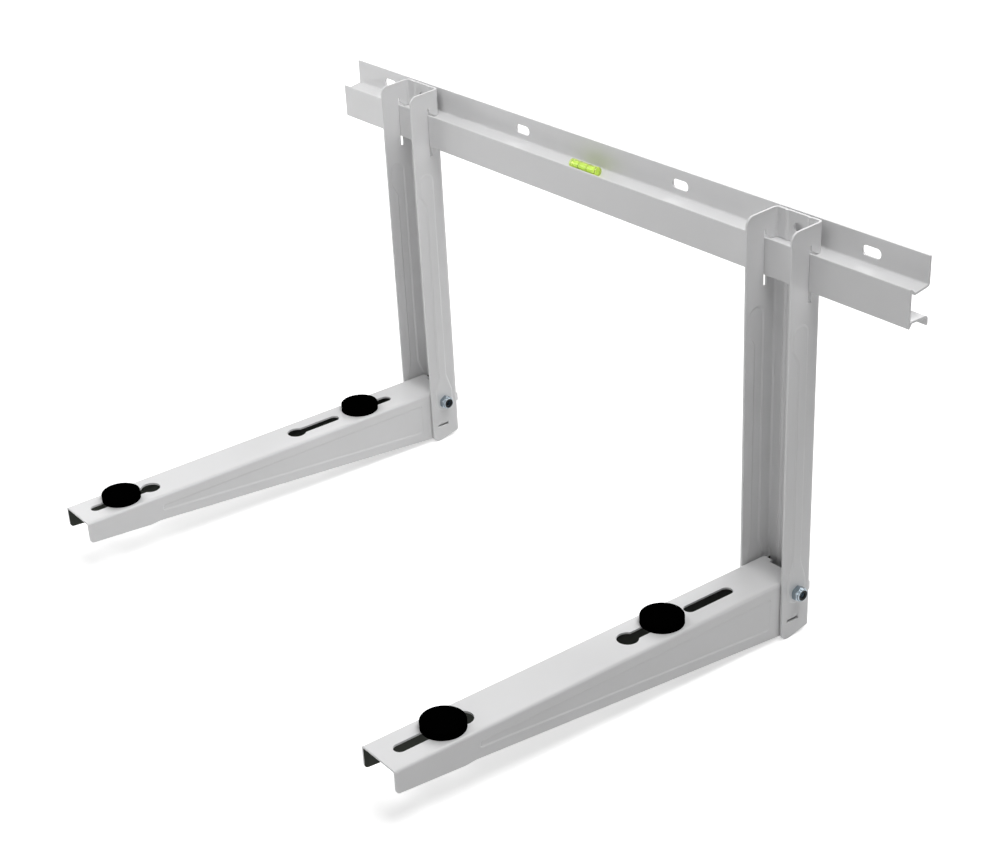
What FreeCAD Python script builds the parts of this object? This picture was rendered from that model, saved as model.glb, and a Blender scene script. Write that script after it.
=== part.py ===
import FreeCAD
import Part
import math
import os

# Wall bracket for an outdoor unit: a rail on the wall, two uprights hooked on it, two arms.
# It is drawn as it hangs: x runs along the wall, y points into the wall and z points up.
# The origin lies on the wall, in the middle of the rail's row of slots.
# A distance out from the wall is written as a positive number, and y is its negative.

# Sheet metal
sheet = 2.0               # thickness of every sheet
bend_inside = 2.5         # inside radius of an upright's bends
rail_bend_inside = 1.5    # inside radius of the rail's ordinary bends
hem_inside = 0.4          # inside radius of the rail's two sharp edges
hem_outside = 1.0         # their outside radius, pressed tighter than an ordinary bend

# Rail: one rolled section
rail_length = 800.0
rail_height = 59.5        # upper edge of the plate to the lower edge of the lip
rail_depth = 22.5         # wall to front face
plate_height = 24.4       # upper edge to the corner where the shelf starts
shelf_fall = 2.6          # from that corner down to the gutter
hook_run = 5.8            # from the gutter out to the front face
hook_rise = 5.4           # from the gutter up to the upper edge of the front face
face_height = 38.0        # upper edge to lower edge of the front face
lower_run = 4.3           # from the front face back to the start of the lower web
lip_height = 6.5          # lower web to the lower edge of the lip

# Slots for the wall screws
wall_slot_count = 4
wall_slot_length = 20.0
wall_slot_width = 12.0
wall_slot_edge = 14.0     # upper edge of the plate to the slots' middle
wall_slot_end = 60.0      # end of the rail to the middle of the outer slots

# Uprights: channels with the web towards the wall
left_end_to_upright = 127.7     # rail's left end to the middle of the left upright
right_end_to_upright = 134.8
upright_gap = 7.0         # wall to the back of the web
upright_width = 54.0
upright_depth = 36.0
upright_length = 392.5    # along the web
upright_rise = 1.6        # top of the web over the rail's upper edge
top_fall = 1.9            # how far the top edge falls over the depth
top_radius = 8.0
foot_fall = 8.5           # how far the bottom edge falls over the depth
foot_radius = 8.0
rib_offset = 13.0         # middle of the web to each of its two ribs
rib_half_width = 2.0
rib_depth = 0.9
top_hole_diameter = 10.0
top_hole_drop = 12.0      # rail's upper edge to the hole's middle

# Window that lets the rail through the upright
hook_clearance = 0.3
slit_above = 5.1          # upper slit past the upper edge of the rail's front face
slit_above_width = 2.6
slit_below = 7.9          # lower slit past its lower edge
slit_below_width = 3.4
notch_rise = 0.4          # notch over the gutter: its front corner over the rail's upper edge
notch_run = 8.2           # from the upper slit back to where the flange rests on the shelf

# Long bead in each flange of an upright, pressed outwards
bead_depth = 1.2
bead_flank = 1.6          # width of its sloping side
bead_corner = 3.2         # radius where its width changes
round_end_flat = 0.2      # flat left between the two corners of a round end
bead_rear = 14.0          # back of the web to the bead's rear side
bead_width = 11.3
bead_taper = 12.0         # length of each change of width
head_width = 18.3         # wider upper head
head_drop = 84.5          # rail's upper edge to the top of the head
head_length = 24.0        # straight height of the head with its rounding
boss_radius = 11.5        # round seat at the arm bolt
boss_taper = 20.0         # length of the change of width above the seat

# Small tab in each flange of an upright that centres the arm
tab_width = 14.0
tab_height = 4.5
tab_slit = 2.4
tab_rear = 15.0           # back of the web to the tab
tab_drop = 27.5           # bolt axis to the slit under the tab
tab_clearance = 0.3       # tab to arm

# Arms: tapered channels, open downwards
arm_clearance = 1.25      # between arm and upright at each side
arm_reach = 469.0         # wall to the tip
arm_over_bolt = 13.2      # bolt's axis up to the arm's top
arm_bend_inside = 1.0
tip_height = 22.9         # height of the tip
tip_radius = 4.0
step_from_tip = 69.0      # tip to the small step in the lower edge
step_run = 12.0
step_height = 28.0        # height of the arm in front of the step
beam_height = 27.2        # and behind it
root_height = 55.8        # height where the arm enters the upright
foot_inset = 2.3          # arm's lower edge over the upright's, inside it
rear_clearance = 0.8      # arm's rear edge to the upright's web
top_setback = 8.5         # web to the rear edge of the arm's top
notch_depth = 4.1         # notch in the middle of that edge
notch_width = 23.0

# Tongues at the rear of the arm that pass through the upright's web
tongue_height = 9.0
tongue_reach = 2.0        # past the back of the web
tongue_drop = 2.5         # bolt axis to the tongue's middle
tongue_clearance = 0.5

# Panel pressed inwards in each flange of an arm
panel_depth = 1.2
panel_flank = 1.5
panel_drop = 11.2         # arm's top to the panel's upper side
panel_margin = 10.0       # arm's lower edge to the panel's lower side
panel_from_tip = 85.0
panel_from_web = 44.5
panel_radius = 3.0
panel_root_radius = 5.0   # lower corner at the root

# Slots in the arm's top
arm_slot_width = 12.0
keyhole_diameter = 20.0
front_slot_from_tip = 22.0    # tip to the middle of the slot's narrow end
front_slot_travel = 63.5      # from there to the middle of the keyhole
middle_slot_from_web = 146.0  # web to the middle of the slot's narrow end
middle_slot_travel = 48.0     # from there to the middle of the keyhole
rear_slot_from_web = 77.0     # web to the middle of the slot's near end
rear_slot_travel = 44.0

# Bolt and lock nut at the root of each arm
bolt_diameter = 8.0
bolt_hole_clearance = 0.5     # all round
thread_clearance = 0.05       # all round
bolt_out = 19.0               # back of the web to the bolt's axis
bolt_rise = 40.4              # rear foot of the upright up to the bolt's axis
bolt_recess = 4.4             # face of the nut to the end of the bolt
hex_flats = 13.0
nut_height = 8.0
nut_hex_height = 5.6          # height of its hexagon
collar_diameter = 12.0        # round collar over the hexagon
lock_ring_diameter = 10.2
lock_ring_height = 2.0
lock_ring_recess = 0.2        # face of the nut to the ring
head_height = 5.3

# Rubber pads, pushed into the slots
pad_diameter = 40.0
pad_height = 8.0
pad_neck_clearance = 0.3      # neck to slot, each side
pad_neck_end = 1.0            # neck past the underside of the sheet
right_front_pad_travel = 44.0   # from the middle of the slot's narrow end
right_rear_pad_travel = 8.0
left_front_pad_travel = 29.4
left_rear_pad_travel = 34.4

# Level in the gutter
level_x = -3.0
level_length = 38.0
level_diameter = 9.0
level_waist_diameter = 8.4
level_collar = 6.0
level_bore = 6.0
level_end_wall = 3.0
level_clearance = 0.1
bubble_length = 9.0
bubble_diameter = 3.4

# Heights, out distances and half widths that follow from the sizes above
rail_top = wall_slot_edge
shelf_z = rail_top - plate_height
gutter_z = shelf_z - shelf_fall
gutter_out = rail_depth - hook_run
edge_z = gutter_z + hook_rise
lower_edge_z = edge_z - face_height
lip_z = rail_top - rail_height
lower_web_z = lip_z + lip_height

web_front = upright_gap + sheet
upright_front = upright_gap + upright_depth
upright_half = upright_width / 2
upright_left_x = left_end_to_upright - rail_length / 2
upright_right_x = rail_length / 2 - right_end_to_upright
upright_top = rail_top + upright_rise
upright_foot = upright_top - upright_length

bolt_axis_out = upright_gap + bolt_out
bolt_z = upright_foot + bolt_rise
bolt_seat = upright_half + bead_depth
hex_corner = hex_flats / math.sqrt(3)

arm_top = bolt_z + arm_over_bolt
arm_half = upright_half - sheet - arm_clearance
arm_rear = web_front + rear_clearance
arm_flange_inner = arm_half - sheet


def vector(x, y, z=0.0):
    return FreeCAD.Vector(x, y, z)


def on_side(x):
    """Place (out, up) on the plane at x that a side view shows."""
    return lambda out, up: vector(x, -out, up)


def on_plan(z):
    """Place (across, out) on the level plane at z."""
    return lambda across, out: vector(across, -out, z)


def on_front(out):
    """Place (across, up) on the plane that lies this far out from the wall."""
    return lambda across, up: vector(across, -out, up)


def right_normals(points, closed):
    """For each corner, the unit normals to the right of the lines before and after it."""
    count = len(points)
    lines = []
    for i in range(count if closed else count - 1):
        along = points[(i + 1) % count] - points[i]
        lines.append(vector(along.y, -along.x).multiply(1 / along.Length))
    if closed:
        return [(lines[i - 1], lines[i]) for i in range(count)]
    return list(zip([lines[0]] + lines, lines + [lines[-1]]))


def shifted(points, distance, closed=False):
    """The line of points, moved to its right by a distance, with mitred corners."""
    moved = []
    for here, (before, after) in zip(points, right_normals(points, closed)):
        moved.append(here + (before + after) * (distance / (1 + before.dot(after))))
    return moved


def turns_right(points, closed=False):
    """For each corner, whether the line turns right there."""
    return [before.cross(after).z < 0 for before, after in right_normals(points, closed)]


def rounded_wire(corners, place):
    """Closed wire through corners of (a, b, radius), each rounded by its radius."""
    points = [vector(a, b) for a, b, radius in corners]
    arcs = []
    for i, (a, b, radius) in enumerate(corners):
        here = points[i]
        back = (points[i - 1] - here).normalize()
        on = (points[(i + 1) % len(points)] - here).normalize()
        half_angle = back.getAngle(on) / 2
        reach = radius / math.tan(half_angle)
        middle = here
        if radius > 0:
            inwards = (back + on).normalize()
            middle = here + inwards * (radius / math.sin(half_angle) - radius)
        arcs.append((here + back * reach, middle, here + on * reach))
    edges = []
    for i, (start, middle, end) in enumerate(arcs):
        if (end - start).Length > 1e-6:
            ends = [place(p.x, p.y) for p in (start, middle, end)]
            edges.append(Part.Arc(*ends).toShape())
        following = arcs[(i + 1) % len(arcs)][0]
        if (following - end).Length > 1e-6:
            edges.append(Part.LineSegment(place(end.x, end.y), place(following.x, following.y)).toShape())
    return Part.Wire(edges)


def prism(corners, place, sweep):
    return Part.Face(rounded_wire(corners, place)).extrude(sweep)


def side_prism(corners, low_x, high_x):
    """An outline of (out, up, radius), as thick as from low_x to high_x."""
    return prism(corners, on_side(low_x), vector(high_x - low_x, 0))


def plan_prism(corners, low_z, high_z):
    """An outline of (across, out, radius), from low_z up to high_z."""
    return prism(corners, on_plan(low_z), vector(0, 0, high_z - low_z))


def front_prism(corners, near_out, far_out):
    """An outline of (across, up, radius), from near_out to far_out from the wall."""
    return prism(corners, on_front(near_out), vector(0, near_out - far_out))


def box_corners(low_a, high_a, low_b, high_b, radius=0.0):
    places = ((low_a, low_b), (low_a, high_b), (high_a, high_b), (high_a, low_b))
    return [place + (radius,) for place in places]


def bent_sheet(bends):
    """Corners of a bent sheet's section, from one skin and with the sheet on the skin's right.

    Each bend is (a, b, radius inside the bend, radius outside it).
    """
    skin = [vector(a, b) for a, b, inside, outside in bends]
    other = shifted(skin, sheet)
    near = []
    far = []
    for i, right in enumerate(turns_right(skin)):
        inside, outside = bends[i][2:]
        near.append((skin[i].x, skin[i].y, outside if right else inside))
        far.append((other[i].x, other[i].y, inside if right else outside))
    return near + far[::-1]


def pressed(corners, surface_x, depth, flank):
    """Solid between a clockwise outline on a side plane and the same outline, smaller by the flank."""
    points = [vector(a, b) for a, b, radius in corners]
    smaller = []
    moves = zip(shifted(points, flank, closed=True), turns_right(points, closed=True), corners)
    for point, right, (a, b, radius) in moves:
        smaller.append((point.x, point.y, radius - flank if right else radius + flank))
    base = rounded_wire(corners, on_side(surface_x))
    end = rounded_wire(smaller, on_side(surface_x + depth))
    return Part.makeLoft([base, end], True, True)


def turned(profile, place, centre, axis):
    """Solid of revolution from a profile of (along, radius, rounding)."""
    return Part.Face(rounded_wire(profile, place)).revolve(centre, axis, 360)


def cross_hole(diameter, out, up, half_length):
    """Round bar along x, for cutting holes through both flanges."""
    return Part.makeCylinder(diameter / 2, 2 * half_length, vector(-half_length, -out, up), vector(1, 0))


def both_sides(shape):
    """A shape and its mirror image about the middle of an upright or arm."""
    return [shape, shape.mirror(vector(0, 0), vector(1, 0))]


def rail_skin():
    """Corners of the rail's outer skin as (out, up), from the upper edge to the lip's lower edge."""
    return [
        (sheet, rail_top),
        (sheet, shelf_z),
        (gutter_out, gutter_z),
        (rail_depth, edge_z),
        (rail_depth, lower_edge_z),
        (rail_depth - lower_run, lower_web_z),
        (sheet, lower_web_z),
        (sheet, lip_z),
    ]


def wall_slot_places():
    pitch = (rail_length - 2 * wall_slot_end) / (wall_slot_count - 1)
    first = wall_slot_end - rail_length / 2
    return [first + i * pitch for i in range(wall_slot_count)]


def cross_rail():
    plain = (rail_bend_inside, rail_bend_inside + sheet)
    gutter = (hem_inside, hem_inside + sheet)
    hem = (hem_inside, hem_outside)
    radii = [plain, plain, gutter, hem, hem, gutter, plain, plain]
    bends = [point + radius for point, radius in zip(rail_skin(), radii)]
    bends[0] = bends[0][:2] + (0.0, 0.0)
    bends[-1] = bends[-1][:2] + (0.0, 0.0)
    rail = side_prism(bent_sheet(bends), -rail_length / 2, rail_length / 2)
    half_length = wall_slot_length / 2
    half_width = wall_slot_width / 2
    for x in wall_slot_places():
        slot = box_corners(x - half_length, x + half_length, -half_width, half_width, half_width)
        rail = rail.cut(front_prism(slot, -sheet, 2 * sheet))
    return rail


def hook_window():
    """The space that the rail takes in an upright's side view, with its notch and two slits.

    The rail's skin, moved out by the clearance, is the window itself. Behind the upper slit
    the flange ends in a slope that comes down to rest on the rail's shelf.
    """
    corners = [vector(out, up) for out, up in rail_skin()[1:-1]]
    space = [(point.x, point.y, 0.0) for point in shifted(corners, -hook_clearance)]
    front = rail_depth + hook_clearance
    upper_rear = front - slit_above_width
    lower_rear = front - slit_below_width
    notch_z = edge_z + notch_rise
    rest_out = upper_rear - notch_run
    rest_z = shelf_z - shelf_fall * (rest_out - sheet) / (gutter_out - sheet)
    notch = [
        (front, notch_z, 0.0),
        (upper_rear, notch_z, 0.0),
        (rest_out, rest_z, 0.0),
        (gutter_out, gutter_z, 0.0),
    ]
    upper_slit = box_corners(upper_rear, front, gutter_z, edge_z + slit_above)
    lower_slit = box_corners(lower_rear, front, lower_edge_z - slit_below, lower_web_z)
    outlines = [space, notch, upper_slit, lower_slit]
    cuts = [side_prism(outline, -upright_width, upright_width) for outline in outlines]
    return cuts[0].fuse(cuts[1:])


def upright_section():
    """Corners of the channel seen from above, with its two ribs in the web."""
    bend = (bend_inside, bend_inside + sheet)
    sharp = (0.0, 0.0)
    bends = [(upright_half, upright_front) + sharp, (upright_half, upright_gap) + bend]
    for middle in (rib_offset, -rib_offset):
        bends.append((middle + rib_half_width, upright_gap) + sharp)
        bends.append((middle, upright_gap + rib_depth) + sharp)
        bends.append((middle - rib_half_width, upright_gap) + sharp)
    bends.append((-upright_half, upright_gap) + bend)
    bends.append((-upright_half, upright_front) + sharp)
    return bent_sheet(bends)


def upright_side():
    """Outline of the channel seen from the side, with its sloping ends."""
    return [
        (upright_gap, upright_foot, 0.0),
        (upright_gap, upright_top, 0.0),
        (upright_front, upright_top - top_fall, top_radius),
        (upright_front, upright_foot - foot_fall, foot_radius),
    ]


def bead_outline():
    """Clockwise outline of the bead: a wide head, a narrow stem and a round seat at the bolt."""
    rear = upright_gap + bead_rear
    front = rear + bead_width
    head_top = rail_top - head_drop
    head_foot = head_top - head_length
    head_radius = (head_width - round_end_flat) / 2
    boss_corner = boss_radius - round_end_flat / 2
    seat_rear = bolt_axis_out - boss_radius
    seat_front = bolt_axis_out + boss_radius
    seat_foot = bolt_z - boss_radius
    seat_top = bolt_z + boss_radius
    return [
        (rear, head_top, head_radius),
        (rear + head_width, head_top, head_radius),
        (rear + head_width, head_foot, bead_corner),
        (front, head_foot - bead_taper, bead_corner),
        (front, seat_top + boss_taper, bead_corner),
        (seat_front, seat_top, bead_corner),
        (seat_front, seat_foot, boss_corner),
        (seat_rear, seat_foot, boss_corner),
        (seat_rear, seat_top, bead_corner),
        (rear, seat_top + boss_taper, bead_corner),
    ]


def upright(x):
    """One channel: section, sloping ends, hook window, beads, holes and tabs."""
    low_z = upright_foot - foot_fall
    body = plan_prism(upright_section(), low_z, upright_top)
    body = body.common(side_prism(upright_side(), -upright_width, upright_width))
    body = body.cut(hook_window())

    outer = pressed(bead_outline(), upright_half, bead_depth, bead_flank)
    inner = pressed(bead_outline(), upright_half - sheet, bead_depth, bead_flank)
    body = body.fuse(both_sides(outer)).cut(both_sides(inner))

    top_hole = Part.makeCylinder(top_hole_diameter / 2, upright_front,
                                 vector(0, 0, rail_top - top_hole_drop), vector(0, -1))
    hole_diameter = bolt_diameter + 2 * bolt_hole_clearance
    body = body.cut([top_hole, cross_hole(hole_diameter, bolt_axis_out, bolt_z, upright_width)])

    slot_half = tongue_height / 2 + tongue_clearance
    tongue_z = bolt_z - tongue_drop
    slot = box_corners(arm_flange_inner - tongue_clearance, arm_half + tongue_clearance,
                       tongue_z - slot_half, tongue_z + slot_half)
    body = body.cut(both_sides(front_prism(slot, upright_gap - sheet, web_front + bend_inside)))

    tab_depth = arm_clearance - tab_clearance
    slit_z = bolt_z - tab_drop
    near = upright_gap + tab_rear
    far = near + tab_width
    wedge = []
    for face in (upright_half, upright_half - sheet):
        corners = [
            (face, slit_z, 0.0),
            (face, slit_z + tab_height, 0.0),
            (face - tab_depth, slit_z, 0.0),
        ]
        wedge.append(front_prism(corners, near, far))
    slit_corners = box_corners(near, far, slit_z - tab_slit, slit_z)
    slit = side_prism(slit_corners, upright_half - 2 * sheet, upright_half)
    body = body.fuse(both_sides(wedge[1])).cut(both_sides(wedge[0]) + both_sides(slit))

    body.translate(vector(x, 0))
    return body


def arm_lower_edge(out):
    """Height of the straight part of the arm's lower edge, this far from the wall."""
    front = arm_reach - step_from_tip - step_run
    share = (front - out) / (front - upright_front)
    return arm_top - beam_height - share * (root_height - beam_height)


def arm_side():
    """Outline of an arm seen from the side, with the tongue that passes through the web."""
    foot_slope = foot_fall / upright_depth
    rear_z = upright_foot - foot_slope * (arm_rear - upright_gap) + foot_inset
    tongue_z = bolt_z - tongue_drop
    step_out = arm_reach - step_from_tip
    shoulder_z = arm_top - arm_bend_inside - sheet
    return [
        (web_front + top_setback, arm_top, 0.0),
        (arm_reach, arm_top, 0.0),
        (arm_reach, arm_top - tip_height, tip_radius),
        (step_out, arm_top - step_height, 0.0),
        (step_out - step_run, arm_lower_edge(step_out - step_run), 0.0),
        (upright_front, arm_lower_edge(upright_front), 0.0),
        (arm_rear, rear_z, 0.0),
        (arm_rear, tongue_z - tongue_height / 2, 0.0),
        (upright_gap - tongue_reach, tongue_z - tongue_height / 2, 0.0),
        (upright_gap - tongue_reach, tongue_z + tongue_height / 2, 0.0),
        (arm_rear, tongue_z + tongue_height / 2, 0.0),
        (arm_rear, shoulder_z, 0.0),
        (web_front + top_setback, shoulder_z, 0.0),
    ]


def panel_outline():
    """Clockwise outline of the tapered panel in an arm's flange."""
    near = web_front + panel_from_web
    far = arm_reach - panel_from_tip
    upper = arm_top - panel_drop
    return [
        (near, upper, panel_radius),
        (far, upper, panel_radius),
        (far, arm_lower_edge(far) + panel_margin, panel_radius),
        (near, arm_lower_edge(near) + panel_margin, panel_root_radius),
    ]


def arm_slots():
    """(middle of the narrow end, middle of the other end, whether that end is a keyhole)"""
    front = arm_reach - front_slot_from_tip
    middle = web_front + middle_slot_from_web
    rear = web_front + rear_slot_from_web
    return {
        "front": (front, front - front_slot_travel, True),
        "middle": (middle, middle + middle_slot_travel, True),
        "rear": (rear, rear + rear_slot_travel, False),
    }


def arm(x):
    """One arm: section, tapered side, rear notch, pressed panels, slots and bolt holes."""
    low_z = arm_lower_edge(web_front) - root_height
    bend = (arm_bend_inside, arm_bend_inside + sheet)
    skin = [
        (-arm_half, low_z, 0.0, 0.0),
        (-arm_half, arm_top) + bend,
        (arm_half, arm_top) + bend,
        (arm_half, low_z, 0.0, 0.0),
    ]
    body = front_prism(bent_sheet(skin), 0.0, arm_reach)
    body = body.common(side_prism(arm_side(), -upright_width, upright_width))

    top_range = (arm_top - 2 * sheet, arm_top + sheet)
    notch_front = web_front + top_setback + notch_depth
    notch = box_corners(-notch_width / 2, notch_width / 2, 0.0, notch_front)
    body = body.cut(plan_prism(notch, *top_range))

    outer = pressed(panel_outline(), arm_half, -panel_depth, panel_flank)
    inner = pressed(panel_outline(), arm_flange_inner, -panel_depth, panel_flank)
    body = body.fuse(both_sides(inner)).cut(both_sides(outer))

    half = arm_slot_width / 2
    for narrow, other, keyhole in arm_slots().values():
        near, far = sorted((narrow, other))
        slot = plan_prism(box_corners(-half, half, near - half, far + half, half), *top_range)
        if keyhole:
            low = vector(0, -other, top_range[0])
            slot = slot.fuse(Part.makeCylinder(keyhole_diameter / 2, 3 * sheet, low))
        body = body.cut(slot)

    hole_diameter = bolt_diameter + 2 * bolt_hole_clearance
    body = body.cut(cross_hole(hole_diameter, bolt_axis_out, bolt_z, upright_width))
    body.translate(vector(x, 0))
    return body


def bolt_turned(profile, start_x):
    """Solid of revolution about the bolt's axis, from a profile that starts at start_x."""
    centre = vector(0, -bolt_axis_out, bolt_z)
    place = lambda along, radius: vector(start_x + along, -bolt_axis_out, bolt_z + radius)
    return turned(profile, place, centre, vector(1, 0))


def hexagon(start_x, height):
    """Hexagonal bar about the bolt's axis, with a corner at the top."""
    corners = []
    for i in range(6):
        angle = math.radians(60 * i + 90)
        out = bolt_axis_out + hex_corner * math.cos(angle)
        corners.append((out, bolt_z + hex_corner * math.sin(angle), 0.0))
    return side_prism(corners, start_x, start_x + height)


def bolt(x):
    """Hexagon bolt from the left, with its head on the left flange's seat."""
    radius = bolt_diameter / 2
    shank_end = 2 * bolt_seat + nut_height - bolt_recess
    shank = bolt_turned([
        (0.0, 0.0, 0.0),
        (0.0, radius, 0.0),
        (shank_end, radius, 0.0),
        (shank_end, 0.0, 0.0),
    ], -bolt_seat)
    head = hexagon(-bolt_seat - head_height, head_height)
    body = head.fuse(shank).removeSplitter()
    body.translate(vector(x, 0))
    return body


def lock_nut(x):
    """Hexagon nut on the right flange's seat, with a round collar that holds the lock ring."""
    axis_start = vector(bolt_seat, -bolt_axis_out, bolt_z)
    collar = Part.makeCylinder(collar_diameter / 2, nut_height, axis_start, vector(1, 0))
    body = hexagon(bolt_seat, nut_hex_height).fuse(collar)
    bore = bolt_diameter + 2 * thread_clearance
    ring_start = bolt_seat + nut_height - lock_ring_recess - lock_ring_height
    ring_seat = Part.makeCylinder(lock_ring_diameter / 2, nut_height,
                                  vector(ring_start, -bolt_axis_out, bolt_z), vector(1, 0))
    body = body.cut([cross_hole(bore, bolt_axis_out, bolt_z, upright_width), ring_seat])
    body = body.removeSplitter()
    body.translate(vector(x, 0))
    return body


def lock_ring(x):
    """Plastic ring in the nut's collar, which grips the bolt's thread."""
    bore = bolt_diameter / 2 + thread_clearance
    outer = lock_ring_diameter / 2
    body = bolt_turned([
        (0.0, bore, 0.0),
        (0.0, outer, 0.0),
        (lock_ring_height, outer, 0.0),
        (lock_ring_height, bore, 0.0),
    ], bolt_seat + nut_height - lock_ring_recess - lock_ring_height)
    body.translate(vector(x, 0))
    return body


def pad(x, out):
    """Rubber disc on an arm, with a square neck down through the slot."""
    half = arm_slot_width / 2 - pad_neck_clearance
    under = arm_top - sheet - pad_neck_end
    disc = Part.makeCylinder(pad_diameter / 2, pad_height, vector(0, -out, arm_top))
    neck = plan_prism(box_corners(-half, half, out - half, out + half), under, arm_top)
    body = disc.fuse(neck).removeSplitter()
    body.translate(vector(x, 0))
    return body


def level_centre():
    """(out, up) of the level's axis: it lies on the shelf and against the hook's slope."""
    corners = [vector(out, up) for out, up in rail_skin()[1:4]]
    centre = shifted(corners, -level_diameter / 2 - level_clearance)[1]
    return centre.x, centre.y


def level_turned(profile):
    out, up = level_centre()
    place = lambda along, radius: vector(level_x + along, -out, up + radius)
    return turned(profile, place, vector(0, -out, up), vector(1, 0))


def level_vial():
    """Clear tube, a little fuller at both ends, with a closed bore."""
    half = level_length / 2
    full = level_diameter / 2
    waist = level_waist_diameter / 2
    collar = half - level_collar
    profile = [
        (-half, 0.0, 0.0),
        (-half, full, 0.0),
        (-collar, full, 0.0),
        (-collar, waist, 0.0),
        (collar, waist, 0.0),
        (collar, full, 0.0),
        (half, full, 0.0),
        (half, 0.0, 0.0),
    ]
    return level_turned(profile).cut(level_bore_solid())


def level_bore_solid():
    half = level_length / 2 - level_end_wall
    radius = level_bore / 2
    return level_turned([(-half, 0.0, 0.0), (-half, radius, 0.0), (half, radius, 0.0), (half, 0.0, 0.0)])


def level_liquid():
    """Liquid that fills the bore, but for the bubble at its top."""
    radius = bubble_diameter / 2
    half = bubble_length / 2
    bubble = level_turned([
        (-half, 0.0, 0.0),
        (-half, radius, 0.0),
        (half, radius, 0.0),
        (half, 0.0, 0.0),
    ])
    bubble.translate(vector(0, 0, level_bore / 2 - radius / 2))
    return level_bore_solid().cut(bubble)


def pad_place(slot, travel):
    """Out distance of a pad that is moved along a slot from the middle of its narrow end."""
    narrow, other, keyhole = arm_slots()[slot]
    return narrow + math.copysign(travel, other - narrow)


parts = {
    "cross_rail": cross_rail(),
    "level_vial": level_vial(),
    "level_liquid": level_liquid(),
    "upright_left": upright(upright_left_x),
    "upright_right": upright(upright_right_x),
    "arm_left": arm(upright_left_x),
    "arm_right": arm(upright_right_x),
    "bolt_left": bolt(upright_left_x),
    "bolt_right": bolt(upright_right_x),
    "nut_left": lock_nut(upright_left_x),
    "nut_right": lock_nut(upright_right_x),
    "lock_ring_left": lock_ring(upright_left_x),
    "lock_ring_right": lock_ring(upright_right_x),
    "pad_left_front": pad(upright_left_x, pad_place("front", left_front_pad_travel)),
    "pad_left_rear": pad(upright_left_x, pad_place("rear", left_rear_pad_travel)),
    "pad_right_front": pad(upright_right_x, pad_place("front", right_front_pad_travel)),
    "pad_right_rear": pad(upright_right_x, pad_place("middle", right_rear_pad_travel)),
}

os.makedirs("parts", exist_ok=True)
for name, shape in parts.items():
    shape.exportStep("parts/" + name + ".step")
    print(name, len(shape.Solids), shape.isValid(), round(shape.Volume))
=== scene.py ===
import math

import bmesh
import bpy
from mathutils import Euler, Matrix, Vector


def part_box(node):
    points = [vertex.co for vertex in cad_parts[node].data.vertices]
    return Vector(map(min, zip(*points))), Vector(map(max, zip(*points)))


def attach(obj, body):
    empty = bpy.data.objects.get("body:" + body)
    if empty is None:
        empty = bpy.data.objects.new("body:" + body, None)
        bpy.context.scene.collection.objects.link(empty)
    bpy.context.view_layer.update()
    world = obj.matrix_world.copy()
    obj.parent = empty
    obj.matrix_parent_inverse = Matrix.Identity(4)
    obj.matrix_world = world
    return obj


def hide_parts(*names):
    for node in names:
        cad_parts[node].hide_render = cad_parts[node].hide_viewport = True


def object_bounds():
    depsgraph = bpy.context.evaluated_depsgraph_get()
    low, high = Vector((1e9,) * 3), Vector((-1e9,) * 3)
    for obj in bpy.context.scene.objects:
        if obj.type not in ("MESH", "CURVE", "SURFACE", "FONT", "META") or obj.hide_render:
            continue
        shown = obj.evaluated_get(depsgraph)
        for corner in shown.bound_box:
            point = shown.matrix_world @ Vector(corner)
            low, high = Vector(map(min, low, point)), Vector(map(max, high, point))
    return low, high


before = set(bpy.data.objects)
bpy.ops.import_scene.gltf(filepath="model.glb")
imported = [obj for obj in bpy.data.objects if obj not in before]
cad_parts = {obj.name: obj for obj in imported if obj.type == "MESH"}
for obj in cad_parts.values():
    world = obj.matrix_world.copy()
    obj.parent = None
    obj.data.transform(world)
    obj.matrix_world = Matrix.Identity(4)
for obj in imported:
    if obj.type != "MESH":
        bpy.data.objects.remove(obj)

cad_low, cad_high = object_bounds()
scene = bpy.context.scene
mm = 0.001


# Colours and nodes

def linear(code):
    """An sRGB hex colour as the linear colour that a shader socket takes."""
    channels = []
    for start in (0, 2, 4):
        value = int(code[start:start + 2], 16) / 255
        channels.append(value / 12.92 if value <= 0.04045 else ((value + 0.055) / 1.055) ** 2.4)
    return (*channels, 1.0)


def add(tree, kind, settings=None, **links):
    """Adds a node: settings are its own options, links are values or sockets for its inputs.

    An input is named in lower case with underscores, or by its number as in i0, i1.
    """
    node = tree.nodes.new(kind)
    for name, value in (settings or {}).items():
        setattr(node, name, value)
    names = {}
    for socket in node.inputs:
        names.setdefault(socket.name.lower().replace(" ", "_"), socket)
    for name, value in links.items():
        if name[0] == "i" and name[1:].isdigit():
            socket = node.inputs[int(name[1:])]
        else:
            socket = names[name]
        if isinstance(value, bpy.types.NodeSocket):
            tree.links.new(value, socket)
        else:
            socket.default_value = value
    return node


def new_material(name):
    """A material with an empty tree; returns it, its tree and its object coordinates."""
    material = bpy.data.materials.new(name)
    material.use_nodes = True
    tree = material.node_tree
    tree.nodes.clear()
    place = add(tree, "ShaderNodeTexCoord").outputs["Object"]
    return material, tree, place


def output(tree, shader):
    add(tree, "ShaderNodeOutputMaterial", surface=shader)


def per_mm(size):
    """The scale that gives a noise pattern features of this size in millimetres."""
    return 1 / (size * mm)


def mixed(tree, share, first, second):
    """A colour between two hex colours."""
    blend = add(tree, "ShaderNodeMix", {"data_type": "RGBA"}, i0=share, i6=linear(first), i7=linear(second))
    return blend.outputs[2]


# Materials

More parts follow.
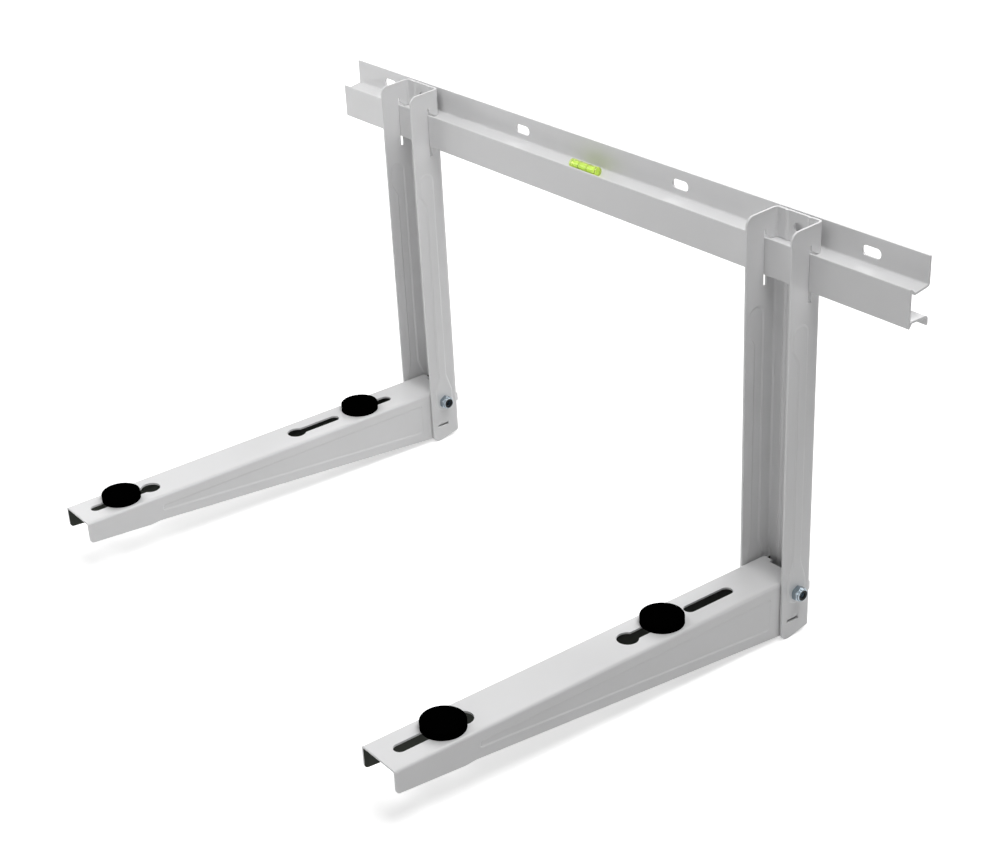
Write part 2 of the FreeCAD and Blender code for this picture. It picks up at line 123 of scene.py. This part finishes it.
def powder_coat():
    """Polyester powder, sprayed and baked: a glossy grey-white skin with faint orange peel."""
    material, tree, place = new_material("powder_coat_grey_white")
    clouds = add(tree, "ShaderNodeTexNoise", vector=place, scale=per_mm(45), detail=2.0)
    peel = add(tree, "ShaderNodeTexNoise", vector=place, scale=per_mm(1.6), detail=1.0)
    skin = add(tree, "ShaderNodeBump", height=peel.outputs["Fac"], strength=0.3, distance=0.03 * mm)
    gloss = add(tree, "ShaderNodeMapRange", value=clouds.outputs["Fac"], to_min=0.26, to_max=0.34)
    surface = add(tree, "ShaderNodeBsdfPrincipled", roughness=gloss.outputs["Result"], ior=1.5,
                  base_color=mixed(tree, clouds.outputs["Fac"], "DDDDDD", "E1E1E2"),
                  normal=skin.outputs["Normal"])
    output(tree, surface.outputs["BSDF"])
    return material


def painted_shade_coat():
    """Painted shade for the inside of an arm's folds: the powder coat darkened to a green-grey where shade
    falls.
    """
    material, tree, place = new_material("powder_coat_thin_over_steel")
    clouds = add(tree, "ShaderNodeTexNoise", vector=place, scale=per_mm(12), detail=3.0)
    gloss = add(tree, "ShaderNodeMapRange", value=clouds.outputs["Fac"], to_min=0.5, to_max=0.7)
    surface = add(tree, "ShaderNodeBsdfPrincipled", roughness=gloss.outputs["Result"], ior=1.5,
                  specular_ior_level=0.12,
                  base_color=mixed(tree, clouds.outputs["Fac"], "3A3D38", "4E524B"))
    output(tree, surface.outputs["BSDF"])
    return material


def rubber():
    """Moulded rubber, filled with carbon black: a matt skin, finely mottled, that swallows the light."""
    material, tree, place = new_material("moulded_rubber_black")
    mottle = add(tree, "ShaderNodeTexNoise", vector=place, scale=per_mm(1.2), detail=4.0, roughness=0.7)
    skin = add(tree, "ShaderNodeBump", height=mottle.outputs["Fac"], strength=0.4, distance=0.1 * mm)
    surface = add(tree, "ShaderNodeBsdfPrincipled", roughness=1.0, specular_ior_level=0.0,
                  base_color=mixed(tree, mottle.outputs["Fac"], "000000", "020202"),
                  normal=skin.outputs["Normal"])
    output(tree, surface.outputs["BSDF"])
    return material


def nylon():
    """Nylon ring, coloured through: black, with the soft shine of a turned plastic."""
    material, tree, place = new_material("nylon_black")
    drift = add(tree, "ShaderNodeTexNoise", vector=place, scale=per_mm(0.9), detail=2.0)
    gloss = add(tree, "ShaderNodeMapRange", value=drift.outputs["Fac"], to_min=0.4, to_max=0.55)
    surface = add(tree, "ShaderNodeBsdfPrincipled", roughness=gloss.outputs["Result"], ior=1.53,
                  specular_ior_level=0.2, base_color=mixed(tree, drift.outputs["Fac"], "020303", "070808"))
    output(tree, surface.outputs["BSDF"])
    return material


def zinc():
    """Electroplated zinc, passivated blue: silvery with a cool cast that drifts over the plate."""
    material, tree, place = new_material("zinc_plate_blue_passivated")
    drift = add(tree, "ShaderNodeTexNoise", vector=place, scale=per_mm(5), detail=2.0)
    grain = add(tree, "ShaderNodeTexNoise", vector=place, scale=per_mm(0.5), detail=3.0)
    skin = add(tree, "ShaderNodeBump", height=grain.outputs["Fac"], strength=0.35, distance=0.03 * mm)
    gloss = add(tree, "ShaderNodeMapRange", value=drift.outputs["Fac"], to_min=0.12, to_max=0.26)
    surface = add(tree, "ShaderNodeBsdfPrincipled", metallic=1.0, roughness=gloss.outputs["Result"],
                  base_color=mixed(tree, drift.outputs["Fac"], "74828C", "BAC3CA"),
                  normal=skin.outputs["Normal"])
    output(tree, surface.outputs["BSDF"])
    return material


def acrylic():
    """Moulded acrylic with a little fluorescent dye: it shows what is behind it, veiled in yellow-green,
    and has the dye's fluorescence painted on as a faint glow.
    """
    material, tree, place = new_material("acrylic_clear_yellow")
    drift = add(tree, "ShaderNodeTexNoise", vector=place, scale=per_mm(8), detail=1.0)
    gloss = add(tree, "ShaderNodeMapRange", value=drift.outputs["Fac"], to_min=0.02, to_max=0.08)
    # emission: a faint painted glow for the dye's fluorescence
    surface = add(tree, "ShaderNodeBsdfPrincipled", base_color=linear("E6F38C"), ior=1.49,
                  roughness=gloss.outputs["Result"], transmission_weight=0.75,
                  emission_color=linear("D4F060"), emission_strength=0.05)
    output(tree, surface.outputs["BSDF"])
    return material


def liquid():
    """Spirit with a fluorescent dye, its fluorescence painted on as a yellow-green glow: it gives back more
    light than falls on it.
    """
    material, tree, place = new_material("spirit_fluorescent")
    drift = add(tree, "ShaderNodeTexNoise", vector=place, scale=per_mm(3), detail=2.0)
    # emission: a painted glow for the dye's fluorescence
    surface = add(tree, "ShaderNodeBsdfPrincipled", roughness=0.15, emission_color=linear("C8F000"),
                  emission_strength=0.2, base_color=mixed(tree, drift.outputs["Fac"], "C4E83A", "E6F56A"))
    output(tree, surface.outputs["BSDF"])
    return material


def line_paint():
    """Printing ink on the level: a thin dark green line, slightly uneven in depth."""
    material, tree, place = new_material("printing_ink_dark_green")
    drift = add(tree, "ShaderNodeTexNoise", vector=place, scale=per_mm(1), detail=2.0)
    surface = add(tree, "ShaderNodeBsdfPrincipled", roughness=0.5,
                  base_color=mixed(tree, drift.outputs["Fac"], "3C4A12", "5A6A1E"))
    output(tree, surface.outputs["BSDF"])
    return material


coat = powder_coat()
# painted shade for the insides of the arms
inner_painted_shade = painted_shade_coat()
black_rubber = rubber()
black_nylon = nylon()
zinc_plate = zinc()
acrylic_with_painted_glow = acrylic()
spirit_painted_glow = liquid()
green_ink = line_paint()


# Making pieces

def stand_in(name, mesh, material, node):
    """A finished piece with its place in its mesh, which stands for a CAD node."""
    mesh.materials.clear()
    mesh.materials.append(material)
    obj = bpy.data.objects.new(name, mesh)
    scene.collection.objects.link(obj)
    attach(obj, "root")
    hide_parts(node)
    return obj


def as_mesh(work, name, sharp_angle=35):
    """Turns a bmesh into a smooth mesh that stays sharp at the edges past an angle."""
    mesh = bpy.data.meshes.new(name)
    work.to_mesh(mesh)
    work.free()
    mesh.shade_smooth()
    mesh.set_sharp_from_angle(angle=math.radians(sharp_angle))
    return mesh


def evaluated(obj, name):
    """The mesh that an object's modifiers make, as a plain mesh; the object goes."""
    bpy.context.view_layer.update()
    live = obj.evaluated_get(bpy.context.evaluated_depsgraph_get())
    mesh = bpy.data.meshes.new_from_object(live)
    mesh.name = name
    bpy.data.objects.remove(obj)
    return mesh


def steps(first, last, count):
    """Points of a profile along the straight line from first to last."""
    return [(first[0] + (last[0] - first[0]) * i / count, first[1] + (last[1] - first[1]) * i / count)
            for i in range(count + 1)]


def arc(centre, radius, first, last, count=5):
    """Points of a profile along an arc, with its angles in degrees from the axis."""
    points = []
    for i in range(count + 1):
        angle = math.radians(first + (last - first) * i / count)
        points.append((centre[0] + radius * math.cos(angle), centre[1] + radius * math.sin(angle)))
    return points


def turned(work, profile, place, sides, flats=None, ring=False, inside_out=False):
    """Adds a closed piece, turned about the x direction from (along, radius) points in mm.

    flats narrows it to a hexagon with a corner on top, and ring leaves a hole in the middle.
    """
    loops = []
    for along, radius in profile:
        loop = []
        for i in range(sides):
            turn = 2 * math.pi * i / sides
            reach = radius
            if flats:
                from_flat = (turn - math.pi / 2) % (math.pi / 3) - math.pi / 6
                reach = min(radius, flats / 2 / math.cos(from_flat))
            point = Vector((along, reach * math.cos(turn), reach * math.sin(turn))) * mm
            loop.append(work.verts.new(place @ point))
        loops.append(loop)
    pairs = list(zip(loops, loops[1:]))
    faces = []
    if ring:
        pairs.append((loops[-1], loops[0]))
    else:
        faces += [work.faces.new(loops[0][::-1]), work.faces.new(loops[-1])]
    for near, far in pairs:
        for i in range(sides):
            following = (i + 1) % sides
            faces.append(work.faces.new((near[i], near[following], far[following], far[i])))
    bmesh.ops.recalc_face_normals(work, faces=faces)
    if inside_out:
        bmesh.ops.reverse_faces(work, faces=faces)


def named_input(tree, name, kind):
    """Adds an input to a tree of geometry nodes and returns its identifier."""
    return tree.interface.new_socket(name, in_out="INPUT", socket_type=kind).identifier


def middle_of(node):
    low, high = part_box(node)
    return (Vector(low) + Vector(high)) / 2


def start_of(node):
    """The middle of a node's side that has the lowest x."""
    middle = middle_of(node)
    return Vector((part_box(node)[0][0], middle.y, middle.z))


# Sheets, with sizes in mm

sheet = 2.0
cut_radius = 0.25         # rounding of the sheets' cut edges
press_radius = 0.7        # rounding of the slopes of panels and beads
merge_distance = 0.001
flat_angle = 0.3          # degrees: faces that meet at less are one face
crease_least = 18         # degrees: pressed slopes meet their walls between these two,
crease_most = 60          # and cut edges at more
slack = 0.1               # in telling whether a face or vertex lies in a part of the sheet
wall_slack = 0.02         # in telling whether it lies on a pressed wall

# The photograph shows the panels and beads very soft, so they are less deep than in the solids, except
# round the bolts. Walls are measured from a piece's middle to the outside of its flange.
press_depth = 1.2
shown_share = 0.5         # share of that depth that is left
arm_wall = 23.75
upright_wall = 27.0
kept_bead = 90.0          # an upright's beads keep their depth up to here over its foot
crown = 6.0               # and nothing is moved this far under a piece's top

# The photograph's wall slots are about 9 mm high and 20.5 mm long, so they are narrowed from 12 by 20 mm.
slot_row = 680.0
slot_gaps = 3
slot_half_height = 6.0
slot_half_straight = 4.0
shown_half_height = 4.5
shown_half_straight = 5.75

# Inside an arm, where shade is painted on
arm_inner_half = 22.0
ceiling_depth = 4.0       # faces that look down lie at most this far under the arm's top
leaning = 0.5             # least share of a face's normal that points across or down


def soften_presses(work, node):
    """Moves the bottoms of an arm's panels or the crowns of an upright's beads nearer to their wall."""
    wall, pressed = (arm_wall, -press_depth) if node.startswith("arm") else (upright_wall, press_depth)
    low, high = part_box(node)
    middle = middle_of(node).x
    for vertex in work.verts:
        side = math.copysign(1.0, vertex.co.x - middle)
        reach = (vertex.co.x - middle) * side
        over_seat = pressed < 0 or vertex.co.z > low[2] + kept_bead * mm
        under_crown = vertex.co.z < high[2] - crown * mm
        for face in (wall, wall - sheet):
            on_press = abs(reach - (face + pressed) * mm) < wall_slack * mm
            if on_press and over_seat and under_crown:
                vertex.co.x = middle + side * (face + pressed * shown_share) * mm


def narrow_wall_slots(work):
    """Gives the rail's wall slots the size that the photograph shows."""
    share = shown_half_height / slot_half_height
    half_length = slot_half_straight + slot_half_height
    for i in range(slot_gaps + 1):
        slot = (slot_row * i / slot_gaps - slot_row / 2) * mm
        for vertex in work.verts:
            along = (vertex.co.x - slot) / mm
            in_height = abs(vertex.co.z) < (slot_half_height + slack) * mm
            in_plate = vertex.co.y > -(sheet + slack) * mm
            if abs(along) < half_length + slack and in_height and in_plate:
                straight = min(abs(along), slot_half_straight) * shown_half_straight / slot_half_straight
                rounded = max(abs(along) - slot_half_straight, 0.0) * share
                vertex.co.x = slot + math.copysign(straight + rounded, along) * mm
                vertex.co.z *= share


def rounded_sheet(node):
    """A copy of a CAD sheet with soft creases where it is pressed and slightly rounded cut edges."""
    work = bmesh.new()
    work.from_mesh(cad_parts[node].data)
    bmesh.ops.remove_doubles(work, verts=work.verts, dist=merge_distance * mm)
    bmesh.ops.dissolve_limit(work, angle_limit=math.radians(flat_angle), verts=work.verts, edges=work.edges)
    least, most = math.radians(crease_least), math.radians(crease_most)
    creases = [edge for edge in work.edges if least < edge.calc_face_angle(0.0) < most]
    if node == "cross_rail":
        narrow_wall_slots(work)
    else:
        soften_presses(work, node)
    bmesh.ops.bevel(work, geom=creases, offset=press_radius * mm, segments=3, profile=0.5, affect="EDGES",
                    clamp_overlap=True)
    mesh = bpy.data.meshes.new(node + "_coated")
    work.to_mesh(mesh)
    work.free()
    mesh.shade_smooth()
    obj = bpy.data.objects.new(node + "_coated", mesh)
    scene.collection.objects.link(obj)
    bevel = obj.modifiers.new("cut_edges", "BEVEL")
    bevel.limit_method = "ANGLE"
    bevel.angle_limit = math.radians(crease_most)
    bevel.width = cut_radius * mm
    bevel.segments = 2
    even = obj.modifiers.new("flat_faces", "WEIGHTED_NORMAL")
    even.weight = 100
    return evaluated(obj, node + "_coated")


def paint_shade_inside(piece, node):
    """Gives the inner faces of an arm's flanges and top the painted shade."""
    piece.data.materials.append(inner_painted_shade)
    middle, top = middle_of(node).x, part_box(node)[1][2]
    for face in piece.data.polygons:
        side = face.center.x - middle
        looks_in = face.normal.x * side < 0 and abs(face.normal.x) > leaning
        flange = looks_in and face.center.z < top - (sheet + slack) * mm
        ceiling = face.normal.z < -leaning and face.center.z > top - ceiling_depth * mm
        if abs(side) < arm_inner_half * mm and (flange or ceiling):
            face.material_index = 1


for node in ("cross_rail", "upright_left", "upright_right", "arm_left", "arm_right"):
    sheet_piece = stand_in(node + "_coated", rounded_sheet(node), coat, node)
    # The arms' inner faces get painted shade.
    if node.startswith("arm"):
        paint_shade_inside(sheet_piece, node)


# Lock nuts, their rings and bolts, in mm from the side where each starts

flats = 13.0
corner = flats / math.sqrt(3)

nut_bore = 4.05
nut_face_radius = 6.3     # where the rounded corners of the hexagon end
nut_rounding = 0.65
hexagon_straight = 4.9    # end of the straight part of its corners
hexagon_height = 5.6
collar_start = 5.8        # end of the small fillet between hexagon and collar
fillet_foot = 6.05        # radius where that fillet starts
fillet_top = 5.95         # and where it ends
collar_end = 7.2          # start of the collar's rolled rim
collar_radius = 5.9
rim_radius = 0.6
rim_edge = 7.92           # face of the nut inside the rim
nut_profile = [(0.0, nut_bore)]
nut_profile += steps((0.0, nut_face_radius), (nut_rounding, corner), 4)
nut_profile += steps((hexagon_straight, corner), (hexagon_height, nut_face_radius), 4)
nut_profile += [(hexagon_height, fillet_foot), (collar_start, fillet_top), (collar_end, collar_radius)]
nut_profile += arc((collar_end, collar_radius - rim_radius), rim_radius, 90, 20)

ring_radius = 5.1
ring_bore = 3.1           # its face falls towards the bore
ring_crest = 2.0
nut_profile += [(rim_edge, ring_radius), (collar_start, ring_radius), (collar_start, nut_bore)]
lock_ring_profile = [(0.0, ring_bore), (0.0, ring_radius), (ring_crest - 0.2, ring_radius)]
lock_ring_profile += [(ring_crest, 4.9), (ring_crest - 0.1, 3.9), (ring_crest - 0.5, ring_bore)]

head_height = 5.3
head_face_radius = 6.0
head_rounding = 0.75
washer_face = 4.9         # end of the head's hexagon and start of its round washer face
washer_radius = 6.2
head_profile = steps((0.0, head_face_radius), (head_rounding, corner), 4)
head_profile += [(washer_face, corner), (washer_face, washer_radius), (head_height, washer_radius)]

shank_radius = 4.0
thread_pitch = 1.25
thread_depth = 0.61
thread_length = 22.0
thread_runout = 0.6
end_chamfer = 0.5
root_radius = shank_radius - thread_depth
ridge_size = thread_depth * 0.75


def spiral_thread(material):
    """A tree of geometry nodes that winds a ridge round the x direction; sizes are in metres."""
    tree = bpy.data.node_groups.new("rolled_thread", "GeometryNodeTree")
    sizes = {}
    for name in ("Radius", "Pitch", "Length", "Ridge"):
        sizes[name] = named_input(tree, name, "NodeSocketFloat")
    tree.interface.new_socket("Geometry", in_out="OUTPUT", socket_type="NodeSocketGeometry")
    given = add(tree, "NodeGroupInput").outputs
    turns = add(tree, "ShaderNodeMath", {"operation": "DIVIDE"}, i0=given["Length"], i1=given["Pitch"])
    spiral = add(tree, "GeometryNodeCurveSpiral", resolution=24, rotations=turns.outputs[0],
                 start_radius=given["Radius"], end_radius=given["Radius"], height=given["Length"])
    section = add(tree, "GeometryNodeCurvePrimitiveCircle", resolution=4, radius=given["Ridge"])
    ridge = add(tree, "GeometryNodeCurveToMesh", curve=spiral.outputs[0], profile_curve=section.outputs[0],
                fill_caps=True)
    laid = add(tree, "GeometryNodeTransform", geometry=ridge.outputs[0], rotation=(0, math.pi / 2, 0))
    real = add(tree, "GeometryNodeRealizeInstances", geometry=laid.outputs[0])
    painted = add(tree, "GeometryNodeSetMaterial", geometry=real.outputs[0], material=material)
    add(tree, "NodeGroupOutput", geometry=painted.outputs[0])
    return tree, sizes


def from_tree(name, tree, values):
    """The plain mesh that a tree of geometry nodes makes from these values."""
    obj = bpy.data.objects.new(name, bpy.data.meshes.new(name))
    scene.collection.objects.link(obj)
    maker = obj.modifiers.new(name, "NODES")
    maker.node_group = tree
    for identifier, value in values.items():
        maker[identifier] = value
    return evaluated(obj, name)


thread_tree, thread_sizes = spiral_thread(zinc_plate)
thread_mesh = from_tree("rolled_thread", thread_tree, {
    thread_sizes["Radius"]: (shank_radius - ridge_size) * mm,
    thread_sizes["Pitch"]: thread_pitch * mm,
    thread_sizes["Length"]: (thread_length - 2 * thread_pitch) * mm,
    thread_sizes["Ridge"]: ridge_size * mm,
})


def lock_nut(side):
    """A hexagon nut with a round collar; side is left or right, as for the ring and the bolt."""
    work = bmesh.new()
    place = Matrix.Translation(start_of("nut_" + side))
    turned(work, nut_profile, place, 96, flats=flats, ring=True)
    stand_in("lock_nut_" + side, as_mesh(work, "lock_nut_" + side), zinc_plate, "nut_" + side)


def nylon_ring(side):
    """The black ring in a nut's collar."""
    work = bmesh.new()
    turned(work, lock_ring_profile, Matrix.Translation(start_of("lock_ring_" + side)), 64, ring=True)
    stand_in("nylon_ring_" + side, as_mesh(work, "nylon_ring_" + side), black_nylon, "lock_ring_" + side)


def hexagon_bolt(side):
    """A bolt with its head, its shank and a wound thread over a thinner root."""
    low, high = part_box("bolt_" + side)
    length = (high[0] - low[0]) / mm
    thread_start = length - thread_length
    shank = [(head_height, shank_radius), (thread_start, shank_radius)]
    shank += [(thread_start + thread_runout, root_radius), (length - end_chamfer, root_radius)]
    shank += [(length, root_radius - end_chamfer)]
    work = bmesh.new()
    place = Matrix.Translation(start_of("bolt_" + side))
    turned(work, head_profile + shank, place, 96, flats=flats)
    thread = thread_mesh.copy()
    thread.transform(place @ Matrix.Translation(Vector((thread_start + thread_pitch, 0, 0)) * mm))
    work.from_mesh(thread)
    stand_in("hexagon_bolt_" + side, as_mesh(work, "hexagon_bolt_" + side), zinc_plate, "bolt_" + side)


for side in ("left", "right"):
    lock_nut(side)
    nylon_ring(side)
    hexagon_bolt(side)


# Rubber pads, turned about their upright axis, in mm from their lowest point

disc_height = 8.0
under_rounding = 0.4
top_rounding = 0.9
neck_half = 5.7           # half width of the square neck that stands in the arm's slot
neck_overlap = 0.2        # neck into the disc
upwards = Matrix.Rotation(-math.pi / 2, 4, "Y")


def rubber_pad(node):
    """A round disc with soft edges on a square neck."""
    low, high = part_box(node)
    radius = (high[0] - low[0]) / 2 / mm
    top = (high[2] - low[2]) / mm
    neck = top - disc_height
    profile = [(neck, radius - 2 * under_rounding)]
    profile += arc((neck + under_rounding, radius - under_rounding), under_rounding, 180, 90, 3)
    profile += arc((top - top_rounding, radius - top_rounding), top_rounding, 90, 0)
    work = bmesh.new()
    place = Matrix.Translation(Vector((middle_of(node).x, middle_of(node).y, low[2])))
    turned(work, profile, place @ upwards, 96)
    height = (neck + neck_overlap) * mm
    size = Matrix.Diagonal((2 * neck_half * mm, 2 * neck_half * mm, height, 1.0))
    bmesh.ops.create_cube(work, size=1.0, matrix=place @ Matrix.Translation((0, 0, height / 2)) @ size)
    stand_in(node + "_moulded", as_mesh(work, node + "_moulded"), black_rubber, node)


for node in ("pad_left_front", "pad_left_rear", "pad_right_front", "pad_right_rear"):
    rubber_pad(node)


# Level: a clear vial with a closed bore, the liquid round its bubble, and two ring marks, in mm

waist_radius = 4.2
collar_length = 6.0
collar_slope = 0.4
vial_rounding = 0.8
bore_radius = 3.0
bore_end = 3.0
film = 0.03               # between the liquid and the bore
bubble_half = 4.5
bubble_radius = 1.5
bubble_depth = 0.05       # liquid over the bubble
bubble_rings = 13
mark_spacing = 12.0
mark_line = 0.2

vial_low, vial_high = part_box("level_vial")
vial_length = (vial_high[0] - vial_low[0]) / mm
vial_radius = (vial_high[2] - vial_low[2]) / 2 / mm
vial_start = Matrix.Translation(start_of("level_vial"))


def level_vial():
    """The moulded tube, with a thicker collar at each end and a bore that is closed at both."""
    rounding_radius = vial_radius - vial_rounding
    far_collar = vial_length - collar_length
    outside = arc((vial_rounding, rounding_radius), vial_rounding, 180, 90)
    outside += [(collar_length - collar_slope, vial_radius), (collar_length, waist_radius)]
    outside += [(far_collar, waist_radius), (far_collar + collar_slope, vial_radius)]
    outside += arc((vial_length - vial_rounding, rounding_radius), vial_rounding, 90, 0)
    bore = [(bore_end, bore_radius), (vial_length - bore_end, bore_radius)]
    work = bmesh.new()
    turned(work, outside, vial_start, 64)
    turned(work, bore, vial_start, 48, inside_out=True)
    stand_in("level_vial_moulded", as_mesh(work, "level_vial_moulded"), acrylic_with_painted_glow, "level_vial")


def level_spirit():
    """The liquid that fills the bore, with a long bubble at the top of its middle."""
    fill_radius = bore_radius - film
    fill_end = bore_end + film
    bubble = []
    for i in range(bubble_rings):
        angle = math.pi * (i + 0.5) / bubble_rings
        bubble.append((-bubble_half * math.cos(angle), bubble_radius * math.sin(angle)))
    bubble_middle = Vector((vial_length / 2, 0, fill_radius - bubble_radius - bubble_depth)) * mm
    work = bmesh.new()
    turned(work, [(fill_end, fill_radius), (vial_length - fill_end, fill_radius)], vial_start, 48)
    turned(work, bubble, vial_start @ Matrix.Translation(bubble_middle), 24, inside_out=True)
    stand_in("level_spirit", as_mesh(work, "level_spirit"), spirit_painted_glow, "level_liquid")


def ring_marks(material):
    """A tree of geometry nodes that sets rings in a row along x; sizes are in metres."""
    tree = bpy.data.node_groups.new("ring_marks", "GeometryNodeTree")
    sizes = {}
    for name in ("Radius", "Line", "Spacing"):
        sizes[name] = named_input(tree, name, "NodeSocketFloat")
    sizes["Count"] = named_input(tree, "Count", "NodeSocketInt")
    tree.interface.new_socket("Geometry", in_out="OUTPUT", socket_type="NodeSocketGeometry")
    given = add(tree, "NodeGroupInput").outputs
    step = add(tree, "ShaderNodeCombineXYZ", x=given["Spacing"])
    row = add(tree, "GeometryNodeMeshLine", count=given["Count"], offset=step.outputs[0])
    circle = add(tree, "GeometryNodeCurvePrimitiveCircle", resolution=48, radius=given["Radius"])
    section = add(tree, "GeometryNodeCurvePrimitiveCircle", resolution=6, radius=given["Line"])
    hoop = add(tree, "GeometryNodeCurveToMesh", curve=circle.outputs[0], profile_curve=section.outputs[0])
    stood = add(tree, "GeometryNodeTransform", geometry=hoop.outputs[0], rotation=(0, math.pi / 2, 0))
    placed = add(tree, "GeometryNodeInstanceOnPoints", points=row.outputs[0], instance=stood.outputs[0])
    real = add(tree, "GeometryNodeRealizeInstances", geometry=placed.outputs[0])
    painted = add(tree, "GeometryNodeSetMaterial", geometry=real.outputs[0], material=material)
    add(tree, "NodeGroupOutput", geometry=painted.outputs[0])
    return tree, sizes


def level_marks():
    """Two printed rings round the vial's waist; they stand for no CAD node."""
    mark_tree, mark_sizes = ring_marks(green_ink)
    marks = from_tree("level_marks", mark_tree, {
        mark_sizes["Radius"]: waist_radius * mm,
        mark_sizes["Line"]: mark_line * mm,
        mark_sizes["Spacing"]: mark_spacing * mm,
        mark_sizes["Count"]: 2,
    })
    first_mark = Vector(((vial_length - mark_spacing) / 2, 0, 0)) * mm
    marks.transform(vial_start @ Matrix.Translation(first_mark))
    marks.shade_smooth()
    marks_piece = bpy.data.objects.new("level_marks", marks)
    scene.collection.objects.link(marks_piece)
    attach(marks_piece, "root")


level_vial()
level_spirit()
level_marks()


# Camera, fitted to the photograph with about half of the shift that a free fit asks for

camera_data = bpy.data.cameras.new("camera")
camera_data.lens = 69.796
camera_data.sensor_width = 36.0
camera_data.shift_x = 0.13846
camera_data.shift_y = 0.08225
camera_data.clip_start, camera_data.clip_end = 0.01, 100
camera = bpy.data.objects.new("camera", camera_data)
scene.collection.objects.link(camera)
camera.location = (1.35055, -1.13289, 0.61852)
camera.rotation_euler = Euler([math.radians(a) for a in (60.7744, 4.6751, 55.6759)], "XYZ")
scene.camera = camera


# Light, background and floor

def lamp(name, place, aim, size, power, mirrored=True):
    """A soft square lamp at a place, aimed at a point. Unless it is mirrored, no piece reflects it."""
    data = bpy.data.lights.new(name, "AREA")
    data.size = size
    data.energy = power
    obj = bpy.data.objects.new(name, data)
    scene.collection.objects.link(obj)
    obj.location = place
    obj.visible_camera = False
    obj.visible_glossy = mirrored
    obj.rotation_euler = (Vector(aim) - Vector(place)).to_track_quat("-Z", "Y").to_euler()


def shown_rays(tree):
    """1 for the rays that show a background: to the camera, by reflection or through glass."""
    rays = add(tree, "ShaderNodeLightPath").outputs
    direct = add(tree, "ShaderNodeMath", {"operation": "MAXIMUM"},
                 i0=rays["Is Camera Ray"], i1=rays["Is Glossy Ray"])
    shown = add(tree, "ShaderNodeMath", {"operation": "MAXIMUM"},
                i0=direct.outputs[0], i1=rays["Is Transmission Ray"])
    return shown.outputs[0]


# Places and sizes in metres and powers in watts, fitted to the even regions of the photograph
aim = (0.0, -0.2, -0.15)
lamp("behind", (0.0, 1.49, 1.26), aim, 1.0, 23)
lamp("overhead", (0.93, -0.2, 1.84), aim, 1.0, 24)
lamp("overhead_behind", (0.66, 0.46, 1.84), aim, 1.0, 7)
lamp("far_left", (-2.17, -0.2, 0.23), aim, 1.0, 22, mirrored=False)
lamp("left", (-0.9, -0.5, 0.3), aim, 0.6, 1.9)
lamp("above_rail", (-0.2, -0.5, 0.85), aim, 0.6, 2.0)
lamp("front", (0.0, -1.5, 0.2), aim, 0.6, 1.9)
lamp("arm_tips", (0.72, -1.15, -0.13), (0.26, -0.45, -0.36), 0.3, 0.5)

room_glow = 0.005         # what the plain room gives as light
white = 1.0               # what shows of it

world = bpy.data.worlds.new("studio")
scene.world = world
world.use_nodes = True
world.node_tree.nodes.clear()
room = add(world.node_tree, "ShaderNodeBackground", color=linear("FFFFFF"), strength=room_glow)
backdrop = add(world.node_tree, "ShaderNodeBackground", color=linear("FFFFFF"), strength=white)
sky = add(world.node_tree, "ShaderNodeMixShader", i0=shown_rays(world.node_tree),
          i1=room.outputs[0], i2=backdrop.outputs[0])
add(world.node_tree, "ShaderNodeOutputWorld", surface=sky.outputs[0])

# White paper on the floor. It glows for the rays that show a background, so that only the shadow is grey.
floor_half = 12.0
lit_middle = (0.0, -0.25, cad_low.z)
lit_reach = 0.5           # metres from there in which the lamps light the paper most
dark_reach = 1.5          # and where they hardly do
glow_by_object = 0.63     # glow that the paper needs there to show white

floor_material, floor_tree, floor_place = new_material("floor_paper_white")
paper = add(floor_tree, "ShaderNodeBsdfDiffuse", color=linear("DCDCDC"))
from_object = add(floor_tree, "ShaderNodeVectorMath", {"operation": "DISTANCE"},
                  i0=floor_place, i1=lit_middle)
away = add(floor_tree, "ShaderNodeMapRange", {"interpolation_type": "SMOOTHSTEP"},
           value=from_object.outputs["Value"], from_min=lit_reach, from_max=dark_reach,
           to_min=glow_by_object, to_max=white)
glow = add(floor_tree, "ShaderNodeEmission", color=linear("FFFFFF"), strength=away.outputs["Result"])
lit = add(floor_tree, "ShaderNodeAddShader", i0=paper.outputs[0], i1=glow.outputs[0])
seen_paper = add(floor_tree, "ShaderNodeMixShader", i0=shown_rays(floor_tree), i1=paper.outputs[0],
                 i2=lit.outputs[0])
output(floor_tree, seen_paper.outputs[0])

floor_mesh = bpy.data.meshes.new("floor")
corners = [(-1, -1, 0), (1, -1, 0), (1, 1, 0), (-1, 1, 0)]
floor_mesh.from_pydata([Vector(c) * floor_half for c in corners], [], [(0, 1, 2, 3)])
floor_mesh.transform(Matrix.Translation((0, 0, cad_low.z)))
floor_mesh.materials.append(floor_material)
floor = bpy.data.objects.new("floor", floor_mesh)
scene.collection.objects.link(floor)

scene.view_settings.view_transform = "Standard"
